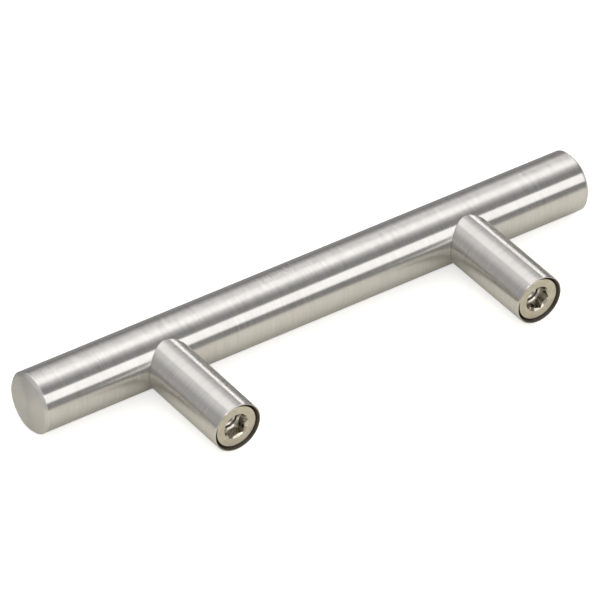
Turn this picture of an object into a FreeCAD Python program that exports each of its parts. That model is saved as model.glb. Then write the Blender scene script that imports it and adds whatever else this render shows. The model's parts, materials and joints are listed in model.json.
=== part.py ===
import FreeCAD, Part
import os
import Sketcher

# Cabinet pull: a solid round bar carried by two posts, screwed on from behind the panel.
# Each post is a thin sleeve round a turned core. The core has a stud that screws into
# the bar, a hexagon socket that drives it home, and a thread for the mounting screw.
# X runs along the bar, Y points from the bar to the cabinet, and Z is up.
# The origin is midway between the screw holes, in the plane of the cabinet's face.

# Driving dimensions in millimetres, or degrees where the note says so.
SIZES = [
    ("hole_spacing", 76.2, "centre to centre of the two mounting screws"),
    ("bar_length", 138.0, "overall length of the bar"),
    ("bar_diameter", 13.6, "round bar stock"),
    ("bar_bevel", 0.7, "bevel round each end of the bar"),
    ("bar_standoff", 30.0, "cabinet face to the bar's axis"),
    ("sleeve_diameter", 11.3, "outside of the post sleeve"),
    ("sleeve_wall", 0.4, "wall of the post sleeve"),
    ("sleeve_bevel", 0.12, "broken edge round both sides of the sleeve's rim"),
    ("saddle_gap", 0.05, "seam between the sleeve's saddle and the bar"),
    ("core_gap", 0.15, "radial gap between the sleeve and the core inside it"),
    ("neck_gap", 0.4, "radial gap round the core's turned-down end"),
    ("neck_length", 2.5, "length of the core's turned-down end"),
    ("core_recess", 0.5, "depth of the core's face inside the sleeve's rim"),
    ("core_bevel", 0.15, "bevel round the core's face"),
    ("socket_flats", 5.0, "hexagon socket across flats"),
    ("socket_depth", 2.5, "core's face to the socket's floor"),
    ("socket_mouth", 5.9, "diameter of the countersink round the socket's mouth"),
    ("left_socket_turn", 12.0, "degrees from X to a corner of the left socket"),
    ("right_socket_turn", 50.0, "degrees from X to a corner of the right socket"),
    ("screw_diameter", 4.166, "root of the mounting screw's thread"),
    ("screw_lead", 0.3, "countersink at the start of the thread"),
    ("screw_depth", 12.0, "socket's floor to the end of the thread"),
    ("stud_diameter", 6.0, "stud that screws into the bar"),
    ("stud_length", 6.0, "core's shoulder to the stud's end"),
    ("stud_bevel", 0.6, "bevel round the stud's end"),
    ("stud_gap", 0.05, "radial gap between the stud and its hole"),
    ("stud_spare", 1.2, "depth of the bar's hole past the stud's end"),
    ("seat_depth", 0.4, "flat seat milled into the bar under the core's shoulder"),
    ("seat_gap", 0.1, "radial room round the core's shoulder on its seat"),
    ("drill_angle", 118.0, "degrees across the point of a twist drill"),
]

SHEET = "sizes"


def cell(alias):
    """Name a spreadsheet cell inside an expression."""
    return f"{SHEET}.{alias}"


# Distances that follow from the driving dimensions, written once as expressions.
# Along Y they are positive numbers, measured back from the cabinet's face.
BAR_RADIUS = f"({cell('bar_diameter')} / 2)"
BAR_HALF = f"({cell('bar_length')} / 2)"
HALF_SPACING = f"({cell('hole_spacing')} / 2)"
SLEEVE_RADIUS = f"({cell('sleeve_diameter')} / 2)"
SLEEVE_BORE = f"({SLEEVE_RADIUS} - {cell('sleeve_wall')})"
CORE_RADIUS = f"({SLEEVE_BORE} - {cell('core_gap')})"
NECK_RADIUS = f"({SLEEVE_BORE} - {cell('neck_gap')})"
SCREW_RADIUS = f"({cell('screw_diameter')} / 2)"
STUD_RADIUS = f"({cell('stud_diameter')} / 2)"
STUD_HOLE = f"({STUD_RADIUS} + {cell('stud_gap')})"
SEAT_RADIUS = f"({CORE_RADIUS} + {cell('seat_gap')})"
SADDLE_RADIUS = f"({BAR_RADIUS} + {cell('saddle_gap')})"
SOCKET_CORNER = f"({cell('socket_flats')} / 2 / cos(30 deg))"
TIP_SLOPE = f"tan({cell('drill_angle')} * 1 deg / 2)"

FACE_BACK = cell("core_recess")
SOCKET_FLOOR = f"({FACE_BACK} + {cell('socket_depth')})"
SCREW_END = f"({SOCKET_FLOOR} + {cell('screw_depth')})"
SCREW_TIP = f"({SCREW_END} + {SCREW_RADIUS} / {TIP_SLOPE})"
SHOULDER = f"({cell('bar_standoff')} - {BAR_RADIUS} + {cell('seat_depth')})"
STUD_END = f"({SHOULDER} + {cell('stud_length')})"
STUD_HOLE_END = f"({STUD_END} + {cell('stud_spare')})"
STUD_HOLE_TIP = f"({STUD_HOLE_END} + {STUD_HOLE} / {TIP_SLOPE})"


def make_sheet(doc):
    """Write the driving dimensions into a spreadsheet, one alias to a cell."""
    sheet = doc.addObject("Spreadsheet::Sheet", SHEET)
    for row, (alias, value, note) in enumerate(SIZES, start=1):
        sheet.set(f"A{row}", alias)
        sheet.set(f"B{row}", str(value))
        sheet.setAlias(f"B{row}", alias)
        sheet.set(f"C{row}", note)
    doc.recompute()


def new_body(doc, name):
    """Start a named piece."""
    body = doc.addObject("PartDesign::Body", name)
    body.Label = name
    return body


def origin_part(body, role):
    """Find one of the body's own planes or axes by its role."""
    for feature in body.Origin.OriginFeatures:
        if feature.Role == role:
            return feature
    raise ValueError(f"{body.Label} has no {role}")


def new_sketch(body, name, plane, back=None):
    """Attach a sketch to one of the body's planes, moved along the plane's normal."""
    sketch = body.newObject("Sketcher::SketchObject", name)
    sketch.AttachmentSupport = [(origin_part(body, plane), "")]
    sketch.MapMode = "FlatFace"
    if back is not None:
        sketch.setExpression("AttachmentOffset.Base.z", back)
    return sketch


def pin_point(sketch, line, end, name, across, up):
    """Hold one end of a line at two distances from the sketch's origin."""
    x_row = sketch.addConstraint(Sketcher.Constraint("DistanceX", -1, 1, line, end, 1.0))
    sketch.renameConstraint(x_row, f"{name}_across")
    sketch.setExpression(f"Constraints.{name}_across", across)
    y_row = sketch.addConstraint(Sketcher.Constraint("DistanceY", -1, 1, line, end, 1.0))
    sketch.renameConstraint(y_row, f"{name}_up")
    sketch.setExpression(f"Constraints.{name}_up", up)


def evaluate(sketch, expression):
    """Give the plain number that an expression stands for."""
    value = sketch.evalExpression(expression)
    return float(getattr(value, "Value", value))


def add_outline(sketch, points):
    """Draw a closed outline of straight lines through named corners.

    points is a list of (name, across, up), where across and up are expressions.
    """
    places = []
    for _, across, up in points:
        places.append(FreeCAD.Vector(evaluate(sketch, across), evaluate(sketch, up), 0))
    count = len(points)
    for index in range(count):
        line = Part.LineSegment(places[index], places[(index + 1) % count])
        sketch.addGeometry(line, False)
    for index in range(count):
        following = (index + 1) % count
        sketch.addConstraint(Sketcher.Constraint("Coincident", index, 2, following, 1))
    for index, (name, across, up) in enumerate(points):
        pin_point(sketch, index, 1, name, across, up)


def add_circle(sketch, name, radius, across="0", up="0"):
    """Draw a circle whose radius and centre are expressions."""
    centre = FreeCAD.Vector(evaluate(sketch, across), evaluate(sketch, up), 0)
    circle = Part.Circle(centre, FreeCAD.Vector(0, 0, 1), evaluate(sketch, radius))
    curve = sketch.addGeometry(circle, False)
    row = sketch.addConstraint(Sketcher.Constraint("Radius", curve, 1.0))
    sketch.renameConstraint(row, f"{name}_radius")
    sketch.setExpression(f"Constraints.{name}_radius", radius)
    pin_point(sketch, curve, 3, name, across, up)


def turn(body, kind, name, sketch, reference):
    """Turn a profile a full circle, adding with Revolution or cutting with Groove."""
    feature = body.newObject(f"PartDesign::{kind}", name)
    feature.Profile = sketch
    feature.ReferenceAxis = reference
    feature.Angle = 360.0
    body.Tip = feature
    return feature


def extrude(body, kind, name, sketch, length, midplane=False, reverse=False):
    """Pad or pocket a sketch by a length given as an expression."""
    feature = body.newObject(f"PartDesign::{kind}", name)
    feature.Profile = sketch
    feature.Type = "Length"
    feature.SideType = "Symmetric" if midplane else "One side"
    feature.Reversed = reverse
    feature.setExpression("Length", length)
    body.Tip = feature
    return feature


def make_bar(doc):
    """Turned bar, with two flat seats and blind holes for the posts' studs."""
    bar = new_body(doc, "bar")

    outline = new_sketch(bar, "bar_profile", "XY_Plane")
    axis_up = f"-{cell('bar_standoff')}"
    side_up = f"{axis_up} + {BAR_RADIUS}"
    edge_up = f"{side_up} - {cell('bar_bevel')}"
    edge_across = f"{BAR_HALF} - {cell('bar_bevel')}"
    add_outline(outline, [
        ("axis_left", f"-{BAR_HALF}", axis_up),
        ("face_left", f"-{BAR_HALF}", edge_up),
        ("side_left", f"-({edge_across})", side_up),
        ("side_right", edge_across, side_up),
        ("face_right", BAR_HALF, edge_up),
        ("axis_right", BAR_HALF, axis_up),
    ])
    # The outline's last line lies on the bar's own axis.
    turn(bar, "Revolution", "bar_stock", outline, (outline, ["Edge6"]))

    hole = new_sketch(bar, "stud_hole_profile", "XY_Plane")
    seat_side = f"{HALF_SPACING} + {SEAT_RADIUS}"
    hole_side = f"{HALF_SPACING} + {STUD_HOLE}"
    clear_up = f"-{cell('bar_standoff')} + {cell('bar_diameter')}"
    add_outline(hole, [
        ("mouth", HALF_SPACING, clear_up),
        ("tip", HALF_SPACING, f"-{STUD_HOLE_TIP}"),
        ("wall_end", hole_side, f"-{STUD_HOLE_END}"),
        ("wall_start", hole_side, f"-{SHOULDER}"),
        ("seat_edge", seat_side, f"-{SHOULDER}"),
        ("seat_top", seat_side, clear_up),
    ])
    # The first line runs down the stud's axis.
    turn(bar, "Groove", "stud_hole", hole, (hole, ["Edge1"]))

    both = bar.newObject("PartDesign::Mirrored", "stud_holes")
    both.Originals = [doc.getObject("stud_hole")]
    both.MirrorPlane = (origin_part(bar, "YZ_Plane"), [""])
    bar.Tip = both
    return bar


def make_sleeve(doc, side, across):
    """Thin tube from the cabinet's face to the bar, with a saddle cut to the bar."""
    sleeve = new_body(doc, f"{side}_post_sleeve")

    rim = cell("sleeve_bevel")
    end_up = f"-{cell('bar_standoff')}"
    wall = new_sketch(sleeve, f"{side}_sleeve_profile", "XY_Plane")
    add_outline(wall, [
        ("inner_rim", f"{SLEEVE_BORE} + {rim}", "0"),
        ("outer_rim", f"{SLEEVE_RADIUS} - {rim}", "0"),
        ("outer_bevel", SLEEVE_RADIUS, f"-{rim}"),
        ("outer_end", SLEEVE_RADIUS, end_up),
        ("inner_end", SLEEVE_BORE, end_up),
        ("inner_bevel", SLEEVE_BORE, f"-{rim}"),
    ])
    turn(sleeve, "Revolution", f"{side}_sleeve_tube", wall, (wall, ["V_Axis"]))

    saddle = new_sketch(sleeve, f"{side}_saddle_circle", "YZ_Plane")
    add_circle(saddle, "saddle", SADDLE_RADIUS, across=end_up)
    extrude(sleeve, "Pocket", f"{side}_saddle", saddle, f"2 * {cell('sleeve_diameter')}", True)

    sleeve.setExpression("Placement.Base.x", across)
    return sleeve


def make_core(doc, side, across):
    """Turned core with a stud at the bar's end and a screw hole in its face."""
    core = new_body(doc, f"{side}_post_core")

    lead = f"{SCREW_RADIUS} + {cell('screw_lead')}"
    neck_end = f"-({FACE_BACK} + {cell('neck_length')})"
    section = new_sketch(core, f"{side}_core_profile", "XY_Plane")
    add_outline(section, [
        ("face_axis", "0", f"-{FACE_BACK}"),
        ("face_edge", f"{NECK_RADIUS} - {cell('core_bevel')}", f"-{FACE_BACK}"),
        ("neck_top", NECK_RADIUS, f"-({FACE_BACK} + {cell('core_bevel')})"),
        ("neck_end", NECK_RADIUS, neck_end),
        ("side_top", CORE_RADIUS, neck_end),
        ("side_end", CORE_RADIUS, f"-{SHOULDER}"),
        ("stud_top", STUD_RADIUS, f"-{SHOULDER}"),
        ("stud_side", STUD_RADIUS, f"-({STUD_END} - {cell('stud_bevel')})"),
        ("stud_edge", f"{STUD_RADIUS} - {cell('stud_bevel')}", f"-{STUD_END}"),
        ("stud_axis", "0", f"-{STUD_END}"),
    ])
    turn(core, "Revolution", f"{side}_core_blank", section, (section, ["V_Axis"]))

    # A sketch on the XZ plane faces the bar, so a positive offset moves it off the cabinet.
    socket = new_sketch(core, f"{side}_socket_hexagon", "XZ_Plane", FACE_BACK)
    corners = []
    for index in range(6):
        turned = f"({60 * index} deg)"
        corners.append((
            f"corner_{index}",
            f"{SOCKET_CORNER} * cos{turned}",
            f"{SOCKET_CORNER} * sin{turned}",
        ))
    add_outline(socket, corners)
    extrude(core, "Pocket", f"{side}_socket", socket, cell("socket_depth"), reverse=True)

    mouth_radius = f"({cell('socket_mouth')} / 2)"
    mouth = new_sketch(core, f"{side}_mouth_profile", "XY_Plane")
    add_outline(mouth, [
        ("mouth_axis", "0", f"-{FACE_BACK}"),
        ("mouth_point", "0", f"-({FACE_BACK} + {mouth_radius})"),
        ("mouth_edge", mouth_radius, f"-{FACE_BACK}"),
    ])
    turn(core, "Groove", f"{side}_mouth", mouth, (mouth, ["V_Axis"]))

    bore = new_sketch(core, f"{side}_screw_profile", "XY_Plane")
    add_outline(bore, [
        ("floor_axis", "0", f"-{SOCKET_FLOOR}"),
        ("drill_tip", "0", f"-{SCREW_TIP}"),
        ("wall_end", SCREW_RADIUS, f"-{SCREW_END}"),
        ("wall_start", SCREW_RADIUS, f"-({SOCKET_FLOOR} + {cell('screw_lead')})"),
        ("lead_edge", lead, f"-{SOCKET_FLOOR}"),
    ])
    turn(core, "Groove", f"{side}_screw_hole", bore, (bore, ["V_Axis"]))

    # The hexagon stops wherever the stud's thread ran home, so each core is turned.
    core.Placement.Rotation = FreeCAD.Rotation(FreeCAD.Vector(0, -1, 0), 1)
    core.setExpression("Placement.Rotation.Angle", cell(f"{side}_socket_turn"))
    core.setExpression("Placement.Base.x", across)
    return core


def check(doc, pieces):
    """Stop if any feature failed or any piece isn't one sound solid."""
    for item in doc.Objects:
        if "Invalid" in item.State or "Error" in item.State:
            raise RuntimeError(f"{item.Label} failed: {item.State}")
    for piece in pieces:
        shape = piece.Shape
        if shape.isNull() or not shape.isValid() or len(shape.Solids) != 1:
            raise RuntimeError(f"{piece.Label} isn't one sound solid")
    for feature in doc.Objects:
        if feature.TypeId in ("PartDesign::Pocket", "PartDesign::Groove"):
            removed = feature.BaseFeature.Shape.Volume - feature.Shape.Volume
            if removed <= 0:
                raise RuntimeError(f"{feature.Label} cuts nothing")


def main():
    doc = FreeCAD.newDocument("cabinet_pull")
    make_sheet(doc)
    pieces = [make_bar(doc)]
    for side, across in (("left", f"-{HALF_SPACING}"), ("right", HALF_SPACING)):
        pieces.append(make_sleeve(doc, side, across))
        pieces.append(make_core(doc, side, across))
    doc.recompute()
    check(doc, pieces)

    os.makedirs("parts", exist_ok=True)
    for piece in pieces:
        piece.Shape.exportStep(f"parts/{piece.Label}.step")
        box = piece.Shape.BoundBox
        size = f"{box.XLength:.2f} x {box.YLength:.2f} x {box.ZLength:.2f}"
        print(f"{piece.Label}: {piece.Shape.Volume:.1f} mm3, {size} mm")


main()
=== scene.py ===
import json
import math

import bpy
from mathutils import Matrix, Vector


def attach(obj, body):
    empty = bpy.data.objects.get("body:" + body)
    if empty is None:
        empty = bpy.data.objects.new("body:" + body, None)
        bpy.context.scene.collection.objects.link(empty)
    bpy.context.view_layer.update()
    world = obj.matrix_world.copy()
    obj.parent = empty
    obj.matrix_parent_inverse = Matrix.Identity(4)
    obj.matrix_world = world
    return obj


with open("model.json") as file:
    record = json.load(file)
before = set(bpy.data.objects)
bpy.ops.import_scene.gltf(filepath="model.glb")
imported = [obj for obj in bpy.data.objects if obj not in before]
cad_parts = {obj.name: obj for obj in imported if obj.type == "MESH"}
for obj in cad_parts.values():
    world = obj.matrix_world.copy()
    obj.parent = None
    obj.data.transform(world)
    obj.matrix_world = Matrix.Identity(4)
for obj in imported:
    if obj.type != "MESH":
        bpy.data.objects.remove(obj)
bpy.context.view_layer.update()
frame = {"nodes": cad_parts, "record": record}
nodes = frame["nodes"]

# Lengths are in metres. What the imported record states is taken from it.
MOUNTS = {mount["name"]: mount for mount in frame["record"]["mounts"]}
COLOURS = {material["slot"]: material["base_color"] for material in frame["record"]["materials"]}
HALF_SPACING = MOUNTS["right_screw_thread"]["pos_m"][0]
MM = 0.001

# Sizes of the bar that the record doesn't state.
BAR_AXIS_Y = -0.030
BAR_RADIUS = 0.0068

# An 8-32 thread: its pitch, the radius of its crests, and its profile as shares of the pitch.
THREAD_PITCH = 0.000794
THREAD_CREST = 0.00176
ROOT_HALF = THREAD_PITCH * 0.44
CREST_HALF = THREAD_PITCH * 0.09

# Its ridge has so many steps to a turn, fades over half a turn at each end, stops short of
# the hole's end and reaches a little into the wall.
THREAD_STEPS = 48
THREAD_FADE = THREAD_STEPS / 2
END_TURNS = 0.6
WALL_OVERLAP = 0.00003

# Noise scales in cycles to the metre, across the grain and along it.
FINE_ACROSS = 5200.0
FINE_ALONG = 200.0
BAND_ACROSS = 420.0
BAND_ALONG = 160.0

# Looks of the metals. Within a radius of its post's axis, with a soft edge, a sleeve is painted
# darker as painted shade of the gap round its core.
GRAIN_DEPTH = 0.00002
BEVEL_SAMPLES = 6
BAR_EDGE = 0.0005
RIM_EDGE = 0.00008
# Painted shade in the gap round each core: its radius, soft edge and colour.
PAINTED_SHADE_RADIUS = 0.0054
PAINTED_SHADE_SOFTNESS = 0.00006
PAINTED_SHADE_COLOUR = (0.12, 0.10, 0.08, 1.0)
# Painted shade down each socket: the colour that the core turns to below its face.
SOCKET_PAINTED_SHADE = (0.54, 0.51, 0.455)

# The floor's paper, with a painted pool of light round the pull, and the glow that keeps it white.
FLOOR_HALF = 12.0
PAINTED_POOL_COLOUR = (0.90, 0.87, 0.78, 1.0)
PAINTED_FALLOFF_GREY = (0.33, 0.33, 0.32, 1.0)
GLOW_COLOUR = (0.97, 0.98, 1.0, 1.0)

# The camera, as fitted to the edges of the pull in the photo. Its lens is in millimetres.
CAMERA_PLACE = (0.69657, 0.91287, 0.89101)
CAMERA_FORWARD = (-0.47196, -0.64001, -0.60634)
CAMERA_UP = (-0.33745, -0.50424, 0.7949)
CAMERA_LENS = 426.76
SENSOR_WIDTH = 36.0

# Each soft box is an aim, a side, a span along the side, a span upward and a strength.
# A span is its middle, half width and soft edge, as tangents seen from the object.
ABOVE = (0.0, 0.0, 1.0)
EAST = (1.0, 0.0, 0.0)
SOFT_BOXES = (
    # Four panels overhead.
    (ABOVE, EAST, (-0.095, 0.335, 0.06), (-0.400, 0.400, 0.117), 0.80),
    (ABOVE, EAST, (-0.765, 0.335, 0.06), (-0.265, 0.265, 0.13), 0.70),
    (ABOVE, EAST, (-0.16, 0.761, 0.94), (-0.967, 1.192, 0.244), 0.71),
    (ABOVE, EAST, (0.75, 0.50, 0.40), (0.45, 0.50, 0.40), 0.60),
    # The bright strip along the bar.
    ((0.0, 0.8305, 0.5570), EAST, (-0.40, 0.75, 0.15), (0.0, 0.2651, 0.04), 1.42),
    # The thin line down each post.
    ((-0.691, -0.640, 0.336), (0.44, 0.0, 0.898), (0.024, 0.042, 0.03), (0.28, 0.38, 0.06), 5.20),
    # A small lamp near the camera.
    ((0.34, 0.64, 0.69), EAST, (0.0, 0.09, 0.03), (0.0, 0.09, 0.03), 3.50),
)


class Tree:
    """A short way to write a node tree."""

    def __init__(self, tree):
        self.tree = tree
        tree.nodes.clear()

    def add(self, kind, inputs=None, **settings):
        node = self.tree.nodes.new(kind)
        for name, value in settings.items():
            setattr(node, name, value)
        for name, value in (inputs or {}).items():
            self.feed(node, name, value)
        return node

    def feed(self, node, name, value):
        socket = node.inputs[name]
        if isinstance(value, bpy.types.NodeSocket):
            self.tree.links.new(value, socket)
        else:
            socket.default_value = value

    def math(self, operation, *values, clamp=False):
        node = self.add("ShaderNodeMath", dict(enumerate(values)),
                        operation=operation, use_clamp=clamp)
        return node.outputs[0]

    def vector(self, operation, *values):
        node = self.add("ShaderNodeVectorMath", dict(enumerate(values)), operation=operation)
        gives_number = operation in ("DOT_PRODUCT", "LENGTH")
        return node.outputs["Value" if gives_number else "Vector"]

    def split(self, vector):
        """The X, Y and Z of a vector, as sockets found by name."""
        return self.add("ShaderNodeSeparateXYZ", {0: vector}).outputs

    def ramp(self, value, low, high, out_low=0.0, out_high=1.0):
        node = self.add("ShaderNodeMapRange", {
            "Value": value, "From Min": low, "From Max": high,
            "To Min": out_low, "To Max": out_high}, interpolation_type="SMOOTHSTEP")
        return node.outputs["Result"]

    def blend(self, factor, first, second):
        """A number between two numbers."""
        return self.add("ShaderNodeMix", {0: factor, 2: first, 3: second}).outputs[0]

    def mix(self, factor, first, second):
        """A colour between two colours."""
        node = self.add("ShaderNodeMix", {0: factor, 6: first, 7: second}, data_type="RGBA")
        return node.outputs[2]


# Materials

def new_material(name):
    material = bpy.data.materials.new(name)
    material.use_nodes = True
    return material, Tree(material.node_tree)


def place(tree):
    """Position in the frame's own axes."""
    return tree.add("ShaderNodeTexCoord").outputs["Object"]


def facing(tree):
    """The way that the surface faces, as X, Y and Z."""
    return tree.split(tree.add("ShaderNodeNewGeometry").outputs["Normal"])


def grain(tree, where, scale, detail=3.0):
    """Noise stretched by the three numbers of scale."""
    stretched = tree.vector("MULTIPLY", where, scale)
    noise = tree.add("ShaderNodeTexNoise", {"Vector": stretched, "Scale": 1.0,
                                            "Detail": detail, "Roughness": 0.6})
    return noise.outputs["Fac"]


def round_axis(axis, across, along):
    """Noise scales for a grain that runs round an axis."""
    scales = [along, along, along]
    scales["XYZ".index(axis)] = across
    return scales


def scaled(tree, base, shade):
    """The base colour made lighter or darker by a number that varies over the surface."""
    node = tree.add("ShaderNodeVectorMath", {0: base, "Scale": shade}, operation="SCALE")
    return node.outputs[0]


def distance(tree, first, second):
    """Distance from an axis, out of the two offsets from it."""
    flat = tree.add("ShaderNodeCombineXYZ", {"X": first, "Y": second})
    return tree.vector("LENGTH", flat.outputs[0])


def post_radius(tree, part):
    """Distance from the axis of the nearer post."""
    across = tree.math("SUBTRACT", tree.math("ABSOLUTE", part["X"]), HALF_SPACING)
    return distance(tree, across, part["Z"])


def rings(tree, radius, scale):
    """Turning marks: noise that depends only on the distance from an axis."""
    noise = tree.add("ShaderNodeTexNoise", {"W": tree.math("MULTIPLY", radius, scale),
                                            "Scale": 1.0, "Detail": 3.0, "Roughness": 0.6},
                     noise_dimensions="1D")
    return noise.outputs["Fac"]


def satin(tree, relief, bands, marks, smoothest):
    """Shade and roughness of satin steel, from fine relief, broad bands and dull marks."""
    shade = tree.math("MULTIPLY", tree.ramp(relief, 0.25, 0.75, 0.92, 1.07),
                      tree.ramp(bands, 0.3, 0.7, 0.98, 1.02))
    rough = tree.math("ADD", tree.ramp(relief, 0.3, 0.7, smoothest, 0.25),
                      tree.ramp(marks, 0.45, 0.75, 0.0, 0.03))
    return shade, rough


def metal(tree, axis, colour, rough, height, edge_radius, bump_strength, metallic=1.0):
    """Join colour, roughness and relief into a metal with softened edges.

    The grain runs round the axis, so reflections spread along it and stay crisp across.
    """
    around = tree.add("ShaderNodeTangent", direction_type="RADIAL", axis=axis)
    edge = tree.add("ShaderNodeBevel", {"Radius": edge_radius}, samples=BEVEL_SAMPLES)
    bump = tree.add("ShaderNodeBump", {"Strength": bump_strength, "Distance": GRAIN_DEPTH,
                                       "Height": height, "Normal": edge.outputs[0]})
    shader = tree.add("ShaderNodeBsdfPrincipled", {
        "Base Color": colour, "Metallic": metallic, "Roughness": rough,
        "Anisotropic": 1.0, "Anisotropic Rotation": 0.25, "Tangent": around.outputs[0],
        "Normal": bump.outputs[0]})
    tree.add("ShaderNodeOutputMaterial", {"Surface": shader.outputs[0]})


def bar_finish():
    """Satin steel with its grain round the bar, and fine turning marks on its ends."""
    material, tree = new_material("bar_steel")
    where = place(tree)
    part = tree.split(where)
    streaks = grain(tree, where, round_axis("X", FINE_ACROSS, FINE_ALONG))
    bands = grain(tree, where, round_axis("X", BAND_ACROSS, BAND_ALONG), detail=2.0)
    marks = grain(tree, where, (90.0, 90.0, 90.0), detail=2.0)
    lift = tree.math("SUBTRACT", part["Y"], BAR_AXIS_Y)
    ring = rings(tree, distance(tree, lift, part["Z"]), FINE_ACROSS)
    on_end = tree.ramp(tree.math("ABSOLUTE", facing(tree)["X"]), 0.5, 0.9)
    relief = tree.blend(on_end, streaks, ring)
    shade, rough = satin(tree, relief, bands, marks, 0.20)
    # Painted light: the bar's end faces are made a little lighter.
    shade = tree.math("MULTIPLY", shade, tree.ramp(on_end, 0.0, 1.0, 1.0, 1.04))
    rough = tree.math("ADD", rough, tree.ramp(on_end, 0.0, 1.0, 0.0, 0.14))
    colour = scaled(tree, COLOURS["bar_steel"], shade)
    metal(tree, "X", colour, rough, relief, BAR_EDGE, bump_strength=0.12)
    return material


def sleeve_finish():
    """Satin steel with its grain round the post, with painted shade inside and on the rim's inner
    half.
    """
    material, tree = new_material("sleeve_steel")
    where = place(tree)
    streaks = grain(tree, where, round_axis("Y", FINE_ACROSS, FINE_ALONG))
    bands = grain(tree, where, round_axis("Y", BAND_ACROSS, BAND_ALONG), detail=2.0)
    marks = grain(tree, where, (120.0, 120.0, 120.0), detail=2.0)
    radius = post_radius(tree, tree.split(where))
    # Painted shade: the bore and the rim's inner half are made darker, duller and less metallic, as
    # if in the shadow of the gap round the core.
    painted_shade = tree.ramp(radius, PAINTED_SHADE_RADIUS + PAINTED_SHADE_SOFTNESS, PAINTED_SHADE_RADIUS - PAINTED_SHADE_SOFTNESS)
    shade, rough = satin(tree, streaks, bands, marks, 0.21)
    colour = tree.mix(painted_shade, scaled(tree, COLOURS["sleeve_steel"], shade), PAINTED_SHADE_COLOUR)
    rough = tree.math("ADD", rough, tree.ramp(painted_shade, 0.0, 1.0, 0.0, 0.3))
    metallic = tree.ramp(painted_shade, 0.0, 1.0, 1.0, 0.4)
    metal(tree, "Y", colour, rough, streaks, RIM_EDGE, bump_strength=0.10, metallic=metallic)
    return material


def core_finish():
    """Nickel plating over a turned face, painted darker and less yellow down the socket as painted
    shade, and shinier on its walls.
    """
    material, tree = new_material("core_plating")
    where = place(tree)
    part = tree.split(where)
    ring = rings(tree, post_radius(tree, part), 7000.0)
    mottle = grain(tree, where, (700.0, 700.0, 700.0))
    # Painted shade: the colour turns darker and less yellow from just below the face down the
    # socket.
    socket_shade = tree.ramp(part["Y"], -0.00055, -0.0012)
    shade = tree.math("MULTIPLY", tree.ramp(ring, 0.3, 0.7, 0.88, 1.08),
                      tree.ramp(mottle, 0.3, 0.7, 0.93, 1.06))
    colour = tree.mix(socket_shade, scaled(tree, COLOURS["core_plating"], shade),
                      scaled(tree, SOCKET_PAINTED_SHADE, shade))
    on_wall = tree.ramp(facing(tree)["Y"], 0.97, 0.85)
    rough = tree.math("MULTIPLY", tree.ramp(ring, 0.3, 0.7, 0.24, 0.36),
                      tree.ramp(on_wall, 0.0, 1.0, 1.0, 0.30))
    metal(tree, "Y", colour, rough, ring, RIM_EDGE, bump_strength=0.3)
    return material


bar_steel = bar_finish()
sleeve_steel = sleeve_finish()
core_plating = core_finish()

FINISHES = {
    "bar": bar_steel,
    "left_post_sleeve": sleeve_steel,
    "right_post_sleeve": sleeve_steel,
    "left_post_core": core_plating,
    "right_post_core": core_plating,
}

for node, material in FINISHES.items():
    nodes[node].data.materials.clear()
    nodes[node].data.materials.append(material)


# Pieces made here

def new_object(name, points, faces, material):
    mesh = bpy.data.meshes.new(name)
    mesh.from_pydata(points, [], faces)
    mesh.update()
    mesh.materials.append(material)
    obj = bpy.data.objects.new(name, mesh)
    bpy.context.scene.collection.objects.link(obj)
    return obj


def screw_thread(name):
    """The crests of a screw thread, as one ridge that winds down the wall of the hole."""
    centre, start, _ = MOUNTS[name]["pos_m"]
    root = MOUNTS[name]["dims"]["r_mm"] * MM
    length = MOUNTS[name]["dims"]["length_mm"] * MM
    wall = root + WALL_OVERLAP
    total = int((length / THREAD_PITCH - END_TURNS) * THREAD_STEPS)
    points, faces = [], []
    for index in range(total + 1):
        turns = index / THREAD_STEPS
        angle = 2 * math.pi * turns
        y = start - THREAD_PITCH * (0.5 + turns)
        fade = min(1.0, index / THREAD_FADE, (total - index) / THREAD_FADE)
        crest = root - (root - THREAD_CREST) * fade
        profile = ((wall, ROOT_HALF), (crest, CREST_HALF), (crest, -CREST_HALF), (wall, -ROOT_HALF))
        for radius, shift in profile:
            points.append((centre + radius * math.cos(angle), y + shift, radius * math.sin(angle)))
        if index:
            here = 4 * index
            back = here - 4
            for side in range(4):
                other = (side + 1) % 4
                faces.append((back + side, here + side, here + other, back + other))
    last = 4 * total
    faces.append((3, 2, 1, 0))
    faces.append((last, last + 1, last + 2, last + 3))
    obj = new_object(name, points, faces, core_plating)
    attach(obj, "root")


screw_thread("left_screw_thread")
screw_thread("right_screw_thread")


# Floor, light and camera

def floor_paper():
    """Paper with a painted pool of light round the pull, and greyer away from it, to the front and
    the back, as painted falloff of light.

    A glow that the camera sees keeps it white, and the metal mirrors a little of that glow.
    """
    material, tree = new_material("floor_paper")
    path = tree.add("ShaderNodeLightPath").outputs
    mirrored = tree.math("ADD", path["Is Glossy Ray"], path["Is Transmission Ray"], clamp=True)
    depth = tree.split(place(tree))["Y"]
    # Painted light: the paper is lighter in a pool round the pull and greyer away from it, in place
    # of light that falls off.
    painted_pool = tree.math("MULTIPLY", tree.ramp(depth, -0.08, -0.01), tree.ramp(depth, 0.13, 0.02))
    seen = tree.math("MULTIPLY", path["Is Camera Ray"], tree.ramp(painted_pool, 0.0, 1.0, 0.95, 0.62))
    strength = tree.math("ADD", seen, tree.math("MULTIPLY", mirrored, 0.04))
    sheet = tree.mix(painted_pool, PAINTED_FALLOFF_GREY, PAINTED_POOL_COLOUR)
    diffuse = tree.add("ShaderNodeBsdfDiffuse", {"Color": sheet})
    glow = tree.add("ShaderNodeEmission", {"Color": GLOW_COLOUR, "Strength": strength})
    both = tree.add("ShaderNodeAddShader", {0: diffuse.outputs[0], 1: glow.outputs[0]})
    tree.add("ShaderNodeOutputMaterial", {"Surface": both.outputs[0]})
    return material


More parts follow.
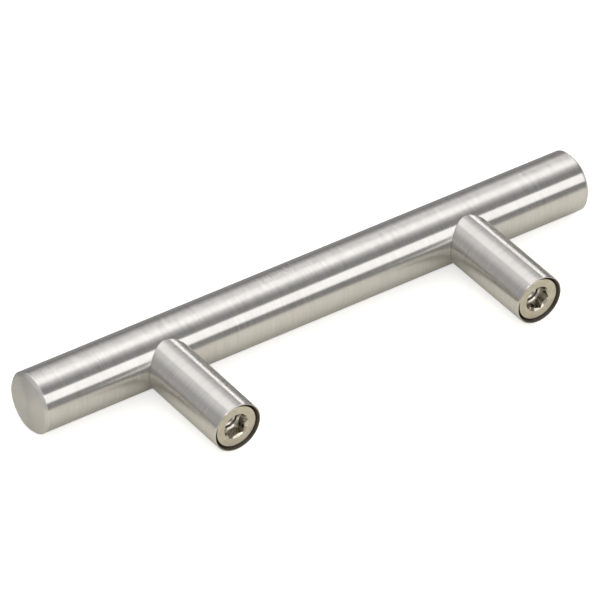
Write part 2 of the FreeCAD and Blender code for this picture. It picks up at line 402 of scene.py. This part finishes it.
def make_floor():
    """A level sheet that the bar lies on."""
    corners = [(-1, -1), (1, -1), (1, 1), (-1, 1)]
    points = [(x * FLOOR_HALF, y * FLOOR_HALF, -BAR_RADIUS) for x, y in corners]
    floor = new_object("floor", points, [(0, 1, 2, 3)], floor_paper())


def soft_box(tree, ray, aim, side, across_span, up_span, power):
    """Light from a soft-edged panel far away."""
    least = 0.001
    aim = Vector(aim).normalized()
    across = (Vector(side) - aim * Vector(side).dot(aim)).normalized()
    up = aim.cross(across)
    depth = tree.vector("DOT_PRODUCT", ray, tuple(aim))
    safe = tree.math("MAXIMUM", depth, least)
    total = tree.math("GREATER_THAN", depth, least)
    for axis, (middle, half, edge) in ((across, across_span), (up, up_span)):
        offset = tree.math("DIVIDE", tree.vector("DOT_PRODUCT", ray, tuple(axis)), safe)
        offset = tree.math("ABSOLUTE", tree.math("SUBTRACT", offset, middle))
        total = tree.math("MULTIPLY", total, tree.ramp(offset, half + edge, half - edge))
    return tree.math("MULTIPLY", total, power)


def make_world():
    """Plain light that is stronger from the east, with the soft boxes added to it."""
    world = bpy.data.worlds.new("studio")
    world.use_nodes = True
    bpy.context.scene.world = world
    tree = Tree(world.node_tree)
    ray = tree.add("ShaderNodeTexCoord").outputs["Generated"]
    total = tree.ramp(tree.vector("DOT_PRODUCT", ray, EAST), -0.5, 0.7, 0.29, 0.53)
    for row in SOFT_BOXES:
        total = tree.math("ADD", total, soft_box(tree, ray, *row))
    white = (1.0, 1.0, 1.0, 1.0)
    background = tree.add("ShaderNodeBackground", {"Color": white, "Strength": total})
    tree.add("ShaderNodeOutputWorld", {"Surface": background.outputs[0]})


def make_camera():
    data = bpy.data.cameras.new("camera")
    camera = bpy.data.objects.new("camera", data)
    bpy.context.scene.collection.objects.link(camera)
    bpy.context.scene.camera = camera
    data.sensor_width = SENSOR_WIDTH
    data.lens = CAMERA_LENS
    data.clip_start = 0.05
    data.clip_end = 50.0
    forward = Vector(CAMERA_FORWARD).normalized()
    right = forward.cross(Vector(CAMERA_UP)).normalized()
    up = right.cross(forward)
    turn = Matrix((right, up, -forward)).transposed().to_4x4()
    camera.matrix_world = Matrix.Translation(CAMERA_PLACE) @ turn


make_floor()
make_world()
make_camera()
bpy.context.scene.view_settings.view_transform = "Standard"
